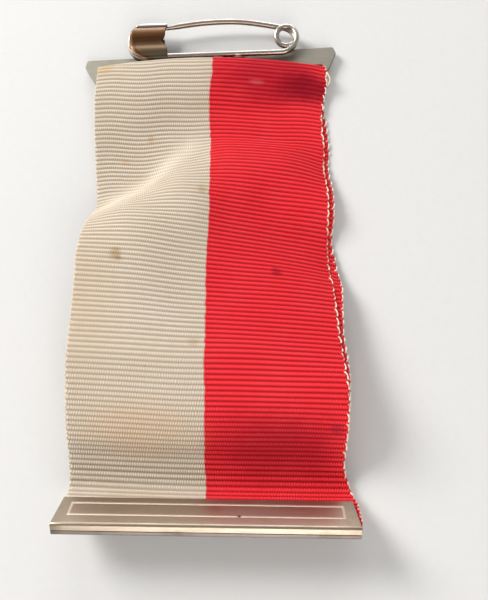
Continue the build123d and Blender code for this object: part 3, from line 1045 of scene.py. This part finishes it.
pin = {
    "wireRadius": 0.475,
    "legY": -0.80,
    "legEnd": -12.0,
    "legSplit": 4.6,          # inside a solder bead
    "bendCentre": (11.98, 1.90),
    "bendRadius": 2.70,
    "coilCentre": (12.90, 2.32),
    "coilRadius": 1.62,
    # where the wire turns into the coil and out of it again: angle, and over how many degrees
    "coilIn": (-10, 85),
    "coilOut": (330, 95.66),
    # height of the wire by its angle round the coil: over itself at the top, under the leg below
    "coilRise": (
        (-90, 0.0), (0, 0.46), (70, 0.52), (120, 0.46), (180, 0.12),
        (250, -0.26), (300, -0.32), (360, -0.50), (436, -0.46),
    ),
    "joinAngle": 75.66,
    "armCentre": (2.0, -37.145),
    "armRadius": 43.0,
    "armStraight": -5.0,
    "levelOver": 9,           # how soon the arm lies level again
    "tip": -12.2,
    "tipShare": 0.10,
    "taper": 7.0,
    "legPoints": 30,
    "splitPoints": 12,
    "coilPoints": 150,
    "bowPoints": 60,
    "tipPoints": 24,
}


def springLine():
    # from the fixed leg, round the end bend and once more, into the bowed arm
    splitX = np.linspace(pin["legSplit"], pin["bendCentre"][0], pin["splitPoints"])[:-1]
    line = [(x, pin["legY"], 0.0) for x in splitX]
    angles = np.linspace(-90, pin["joinAngle"] + 360, pin["coilPoints"])
    (inAt, inOver), (outAt, outOver) = pin["coilIn"], pin["coilOut"]
    for angle, rise in zip(angles, pairs(pin["coilRise"], angles)):
        inTurn = ease((angle - inAt) / inOver) * (1 - ease((angle - outAt) / outOver))
        x, y = (a + (b - a) * inTurn for a, b in zip(pin["bendCentre"], pin["coilCentre"]))
        radius = pin["bendRadius"] + (pin["coilRadius"] - pin["bendRadius"]) * inTurn
        turn = math.radians(angle)
        line.append((x + radius * math.cos(turn), y + radius * math.sin(turn), rise))
    ax, ay = pin["armCentre"]
    straightX = pin["armStraight"]
    startX, _, startRise = line[-1]
    for x in np.linspace(startX, straightX, pin["bowPoints"])[1:]:
        level = 1 - ease((startX - x) / pin["levelOver"])
        line.append((x, ay + math.sqrt(pin["armRadius"] ** 2 - (x - ax) ** 2), startRise * level))
    slope = (straightX - ax) / math.sqrt(pin["armRadius"] ** 2 - (straightX - ax) ** 2)
    bowY = line[-1][1]
    for x in np.linspace(straightX, pin["tip"], pin["tipPoints"])[1:]:
        line.append((x, bowY - slope * (x - straightX), 0.0))
    line = np.array(line)
    share = np.clip((line[:, 0] - pin["tip"]) / pin["taper"], pin["tipShare"], 1)
    return line, share


spring, springShare = springLine()
legX = np.linspace(pin["legEnd"], pin["legSplit"], pin["legPoints"])
leg = placed(pinPlace, [(x, pin["legY"], 0.0) for x in legX])
pinLeg = wirePiece("pin_leg_wire", leg, np.ones(len(leg)), pin["wireRadius"], finishes["wire"])
spring = placed(pinPlace, spring)
pinSpring = wirePiece("pin_spring_wire", spring, springShare, pin["wireRadius"], finishes["wire"])
print("pin bent")

cap = {
    "sheet": 0.22,
    "left": -13.85,
    "right": -7.2,
    "hook": 5.6,
    "hookHalf": 0.2,          # half of the hook's straight wall
    "wrap": -1.42,
    "over": 0.66,             # sheet over the leg
    "under": -0.62,
    "underRight": -0.5,       # the part under the wire stops this much sooner
    "pinch": -0.27,
    "pinchFrom": 0.2,
    "pinchOver": 0.9,
    "lip": 2.7,
    "bend": 0.3,
    "cornerWide": 3.2,
    "cornerPower": 2.2,
    "closeOver": 0.30,        # at its left end the sheet comes down to the wire,
    "closeTo": 0.2,           # to this share of its height
    # where the painted highlight and shade bands begin, at the rim and along the left end
    "bandRim": 0.05,
    "bandLeft": 0.12,
    "bandSpeed": 3.2,         # the bands' millimetres for one from the left end
    "underBand": 6.5,
    "topRows": 64,
    "lipRows": 22,
    "columns": 48,
    "crowding": 1.5,          # columns closer together at the left end
    # the sheet's height by depth from the rim, and its right end by distance across
    "press": (
        (0, 0.50), (0.25, 0.58), (0.55, 0.56), (0.8, 0.38), (1.0, 0.40), (1.5, 0.52),
        (2.1, 0.44), (3.3, 0.26), (4.4, 0.32), (5.3, 0.60), (6.0, 0.66), (7.2, 0.66),
    ),
    "rightEnd": (
        (-1.5, 0.0), (0, 0.0), (1.0, -0.32), (1.9, -0.88), (2.5, -0.70),
        (3.4, -0.38), (4.5, -0.30), (4.75, -0.04), (5.7, 0.0),
    ),
}


def capLine():
    # round the cap from its hook's lower edge to its lip, as distance across and height, and how
    # many of the points are on top; the pressed stretch has no height yet
    hook, wrap, under, bend = cap["hook"], cap["wrap"], cap["under"], cap["bend"]
    half = cap["hookHalf"]
    quarter = np.radians(np.linspace(0, 90, 6))
    line = [(hook, z) for z in (-half, 0.0, half)]
    line += [(hook - bend + bend * math.cos(t), half + bend * math.sin(t)) for t in quarter[1:]]
    line += [(y, None) for y in np.linspace(hook - bend - 0.04, wrap + bend, cap["topRows"])]
    line += [(wrap + bend - bend * math.sin(t), cap["over"] - bend + bend * math.cos(t)) for t in quarter[1:]]
    onTop = len(line)
    line += [(wrap, z) for z in (half / 2, -half / 2)]
    line += [(wrap + bend - bend * math.cos(t), under + bend - bend * math.sin(t)) for t in quarter]
    for y in np.linspace(wrap + bend + half, cap["lip"], cap["lipRows"]):
        line.append((y, under + (cap["pinch"] - under) * ease((y - cap["pinchFrom"]) / cap["pinchOver"])))
    return line, onTop


def capPiece():
    hook, wrap, columns, power = cap["hook"], cap["wrap"], cap["columns"], cap["cornerPower"]
    line, onTop = capLine()
    middle, halfHigh = (hook + wrap) / 2, (hook - wrap) / 2
    ends = pairs(cap["rightEnd"], [y for y, z in line])
    points, depths = [], []
    for row, (y, z) in enumerate(line):
        away = min(1.0, abs(y - middle) / halfHigh)
        left = cap["left"] + cap["cornerWide"] * (1 - (1 - away**power) ** (1 / power))
        right = cap["right"] + (ends[row] if row < onTop else cap["underRight"])
        spots = left + (right - left) * (np.linspace(0, 1, columns) ** cap["crowding"])
        # depth for the painted bands: from the rim, and from the left end, where the rim's highlight runs
        # down too
        down = hook + cap["bandRim"] - y
        depth = np.minimum(down, (spots - left) * cap["bandSpeed"] + cap["bandLeft"])
        depth = depth if row < onTop else np.full(columns, cap["underBand"])
        depths += list(np.clip(depth, 0, capLightBands[-1][0]))
        closing = np.sqrt(1 - (1 - np.clip((spots - left) / cap["closeOver"], 0, 1)) ** 2)
        height = pairs(cap["press"], [down])[0] if z is None else z
        height = height * (cap["closeTo"] + (1 - cap["closeTo"]) * closing)
        points += [(x, y, h) for x, h in zip(spots, height)]
    draft = makeMesh("pin_cap_pressed", placed(pinPlace, points), skin(len(line), columns))
    note(draft, "depth", depths)
    wall = draft.modifiers.new("wall", "SOLIDIFY")
    wall.thickness, wall.offset, wall.use_even_offset = cap["sheet"] * mm, 0, False
    piece = outwards(settled(draft))
    piece.data.materials.append(finishes["cap"])
    return piece


pinCap = capPiece()
print("cap pressed")

solder = {
    "beads": ((1.25, 2.7, 1.75, 1.15), (4.6, 2.5, 1.65, 1.05)),      # x, length, width, height
    "behind": 0.10,           # their middles, from the leg's
    "seed": 4.0,
    "lumps": 0.16,
    "fineLumps": 0.056,
    "skirt": 0.35,            # how far a drop spreads at its foot,
    "skirtTop": 0.15,         # and up to what share of its height
}


def solderPiece():
    # two frozen drops over the leg, flat on the plate
    mesh = bmesh.new()
    low = topBar["plateZ"] + topBar["thickness"] - topBar["wireZ"]
    for number, (x, length, wide, tall) in enumerate(solder["beads"]):
        drop = bmesh.ops.create_icosphere(mesh, subdivisions=4, radius=1.0)
        coarseAt, fineAt = Vector((number * 9.0 + solder["seed"], 0, 0)), Vector((0, number * 5.0, 2.0))
        for vertex in drop["verts"]:
            lump = noise.noise(vertex.co * 1.7 + coarseAt) * solder["lumps"]
            lump += noise.noise(vertex.co * 4.0 + fineAt) * solder["fineLumps"]
            p = vertex.co * (1 + lump)
            spread = 1 + solder["skirt"] * max(0.0, -p.z + solder["skirtTop"]) ** 1.5
            y = pin["legY"] - solder["behind"] + p.y * wide / 2 * spread
            spot = pinPlace @ Vector((x + p.x * length / 2 * spread, y, low + max(p.z, -0.02) * tall))
            vertex.co = spot * mm
    data = bpy.data.meshes.new("solder_drops")
    mesh.to_mesh(data)
    mesh.free()
    data.polygons.foreach_set("use_smooth", [True] * len(data.polygons))
    data.materials.append(finishes["solder"])
    return inScene("solder_drops", data)


solderDrops = solderPiece()


def faceProfile():
    top, low = lowerBar["faceTop"], lowerBar["faceTop"] - lowerBar["flangeDrop"]
    sheet, depth = lowerBar["faceSheet"], lowerBar["depth"]
    under, inside = top - sheet, -depth + sheet
    corners = [(0, top), (0, under), (inside, under), (inside, low), (-depth, low), (-depth, top)]
    return roundCorners(corners, [0.10, 0.08, 0.10, 0.06, 0.06, lowerBar["flangeRound"]], 10)


def backProfile():
    bottom, depth = lowerBar["trayBottom"], lowerBar["depth"]
    inner, inside = bottom + lowerBar["traySheet"], lowerBar["lipSheet"] - depth
    lip = lowerBar["faceTop"] - lowerBar["flangeDrop"] - lowerBar["seam"]
    corners = [(0, inner), (0, bottom), (-depth, bottom), (-depth, lip), (inside, lip), (inside, inner)]
    return roundCorners(corners, [0.08, 0.08, lowerBar["trayRound"], 0.06, 0.06, 0.06])


def barShell(name, profile, finish):
    # a cross-section in (y, z) carried across x, its two ends spreading towards the near side
    profile = np.asarray(profile, float)
    far, near, stations = lowerBar["farHalf"], lowerBar["nearHalf"], lowerBar["stations"]
    half = far + (near - far) * np.clip(-profile[:, 0] / lowerBar["depth"], 0, 1)
    count = len(profile)
    points = []
    for share in np.linspace(-1, 1, stations):
        points += [(share * h, y, z) for h, (y, z) in zip(half, profile)]
    faces = skin(stations, count, roundColumns=True)
    faces += [list(range(count - 1, -1, -1)), list(range((stations - 1) * count, stations * count))]
    draft = outwards(makeMesh(name, placed(barPlace, points), faces))
    bevel = draft.modifiers.new("softEdges", "BEVEL")
    bevel.width, bevel.segments = lowerBar["edge"] * mm, 3
    bevel.limit_method, bevel.angle_limit = "ANGLE", math.radians(40)
    piece = settled(draft)
    piece.data.materials.append(finish)
    return piece


barFace = barShell("bar_face_shell", faceProfile(), finishes["bar"])
barBack = barShell("bar_back_tray", backProfile(), finishes["barBack"])

raised = {
    "half": 18.0,
    "start": 0.95,
    "end": 3.6,
    "bead": 0.42,
    "height": 0.06,
    "sunk": 0.02,             # its foot under the face
    "step": 0.25,
    "sides": 7,
    "worn": 0.75,             # usual share of its height, and how much that changes
    "wornBy": 0.5,
    "lowest": 0.25,
    "flatX": -1.6,            # rubbed low here, on the far run
    "flatHalf": 0.5,
    "flatShare": 0.75,
    "nickX": 4.2,
    "nickRadius": 0.16,
    "nickSoft": 0.12,
    "seed": 3.1,
}


def raisedFrame():
    # a pressed line round the face, low where it is rubbed
    inset, foot = raised["bead"] / 2, lowerBar["faceTop"] - raised["sunk"]
    x, first, last = raised["half"] - inset, -raised["start"] - inset, -raised["end"] + inset
    corners = [(-x, first), (x, first), (x, last), (-x, last)]
    outline = []
    for (ax, ay), (bx, by) in zip(corners, corners[1:] + corners[:1]):
        count = max(6, int(math.hypot(bx - ax, by - ay) / raised["step"]))
        outline += [(ax + (bx - ax) * i / count, ay + (by - ay) * i / count) for i in range(count)]
    points = []
    for px, py in outline:
        onSide, onRun = x - abs(px) < 1e-6, min(abs(py - first), abs(py - last)) < 1e-6
        worn = raised["worn"] + raised["wornBy"] * noise.noise(Vector((px * 0.35, py * 0.9, raised["seed"])))
        if py > (first + last) / 2:
            worn *= 1 - raised["flatShare"] * math.exp(-(((px - raised["flatX"]) / raised["flatHalf"]) ** 2))
        tall = raised["height"] * min(1.0, max(raised["lowest"], worn)) + raised["sunk"]
        wayX = math.copysign(inset, px) if onSide else 0.0
        wayY = math.copysign(inset, py - (first + last) / 2) if onRun else 0.0
        for a in np.linspace(0, math.pi, raised["sides"]):
            points.append((px + wayX * math.cos(a), py + wayY * math.cos(a), foot + math.sin(a) * tall))
    faces = skin(len(outline), raised["sides"], roundRows=True, roundColumns=True)
    piece = outwards(makeMesh("bar_raised_line", placed(barPlace, points), faces))
    # a small nick in the raised line that the shape lacks, painted near black as its shade
    nick = placed(barPlace, [(raised["nickX"], last, lowerBar["faceTop"])])[0]
    far = np.array([np.linalg.norm(np.array(v.co) / mm - nick) for v in piece.data.vertices])
    note(piece, "shaded", 1 - ease((far - raised["nickRadius"]) / raised["nickSoft"]))
    piece.data.materials.append(finishes["barLine"])
    return piece


barLine = raisedFrame()
print("lower bar folded")

flex = {
    # a point on the cloth near each bar, and how far before and after it
    "top": ((0, -5.6, 0.5), 1.5, 2.1),
    "bar": ((0, 0.9, 0), 2.2, 0.6),
    # two points on the wire past the arm's joint: how far from the joint, and which way
    "arm": (0.25, 1.25),
    "armWay": (-0.35, 0.94, 0),
}


def flexEnds(place, at, before, after):
    spot, near, far = placed(place, [at, (0, -1, 0), (0, 0, 0)])
    return (spot - (near - far) * before) * mm, (spot + (near - far) * after) * mm


topStart, topEnd = flexEnds(topPlace, *flex["top"])
for piece in [ribbonUpper, *edgesUpper]:
    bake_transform(piece)
barStart, barEnd = flexEnds(barPlace, *flex["bar"])
for piece in [ribbonLower, *edgesLower]:
    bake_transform(piece)
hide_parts("ribbon_front_layer", "ribbon_back_layer", "ribbon_top_loop")
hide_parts("ribbon_tail")
flatUpper = (ribbon["halfWidth"] * 2 * mm, upperLength * mm)
flatLower = (ribbon["halfWidth"] * 2 * mm, lowerLength * mm)
joinTurn, armWay = math.radians(pin["joinAngle"]), np.array(flex["armWay"])
pivot = pin["bendRadius"] * np.array([math.cos(joinTurn), math.sin(joinTurn), 0])
pivot += (*pin["bendCentre"], 0)
armStart, armEnd = placed(pinPlace, [pivot + armWay * reach for reach in flex["arm"]]) * mm
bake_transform(pinSpring)
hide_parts("pin_coil", "pin_arm")
stiffPieces = (
    (plate, "top_bar", "top_bar_plate", "top_plate"),
    (pinLeg, "top_bar", "pin_leg", "pin_wire"),
    (pinCap, "top_bar", "pin_cap", "pin_cap"),
    (solderDrops, "top_bar", "solder_joints", "solder"),
    (barFace, "lower_bar", "lower_bar_face", "lower_bar"),
    (barBack, "lower_bar", "lower_bar_back", "lower_bar"),
)
for piece, body, node, slot in stiffPieces:
    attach(piece, body)
    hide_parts(node)
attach(barLine, "lower_bar")

view = {
    "at": (0.00497, -0.06766, 0.09394),      # metres
    "down": 72.31,
    "aside": 0.14,
    "leaning": -0.4,
    "lens": 26.0,
    "sensor": 24,
    "nearest": 0.005,
}
camera = inScene("camera", bpy.data.cameras.new("camera"))
camera.data.sensor_fit = "VERTICAL"
camera.data.sensor_height = view["sensor"]
camera.data.lens = view["lens"]
camera.data.clip_start = view["nearest"]
down, aside, leaning = (math.radians(view[turn]) for turn in ("down", "aside", "leaning"))
ahead = Vector((math.sin(aside) * math.cos(down), math.cos(aside) * math.cos(down), -math.sin(down)))
level = Vector((math.cos(aside), -math.sin(aside), 0))
above = level.cross(ahead)
right = level * math.cos(leaning) + above * math.sin(leaning)
up = above * math.cos(leaning) - level * math.sin(leaning)
camera.matrix_world = Matrix.Translation(view["at"]) @ Matrix((right, up, -ahead)).transposed().to_4x4()
bpy.context.scene.camera = camera

floor = makeMesh("floor", [(-900, -900, 0), (900, -900, 0), (900, 900, 0), (-900, 900, 0)], [(0, 1, 2, 3)])
floorFinish = Finish("paleFloor", Roughness=0.75, Specular_IOR_Level=0.2)
grainy = floorFinish.clouds(floorFinish.stretched(900, 900, 900), 1.0, 3.0)
pale = floorFinish.colourMix(grainy * 0.5, linear(214, 214, 214), linear(204, 204, 206))
floorFinish.give("Base Color", pale)
floor.data.materials.append(floorFinish.material)

lamps = {
    # in metres and watts: place, what it points at, size, power, colour
    "key": ((-0.46, 0.30, 0.36), (0, -0.03, 0), 0.28, 5.4, (1.0, 0.98, 0.95)),
    "near": ((0.06, -0.52, 0.22), (0, -0.07, 0), 0.42, 2.4, (1.0, 0.97, 0.92)),
    "far": ((0.05, 0.70, 0.24), (0, 0, 0), 0.50, 2.6, (0.98, 0.99, 1.0)),
}
for name, (at, target, size, watts, tint) in lamps.items():
    light = bpy.data.lights.new(name, "AREA")
    light.shape, light.size, light.energy, light.color = "SQUARE", size, watts, tint
    holder = inScene(name, light)
    holder.location = at
    holder.rotation_euler = (Vector(at) - Vector(target)).to_track_quat("Z", "Y").to_euler()
world = bpy.data.worlds.new("studio")
world.use_nodes = True
background = world.node_tree.nodes["Background"]
background.inputs["Color"].default_value = (0.92, 0.90, 0.87, 1)
background.inputs["Strength"].default_value = 0.36
bpy.context.scene.world = world
bpy.context.scene.view_settings.view_transform = "Standard"

print("scene ready")
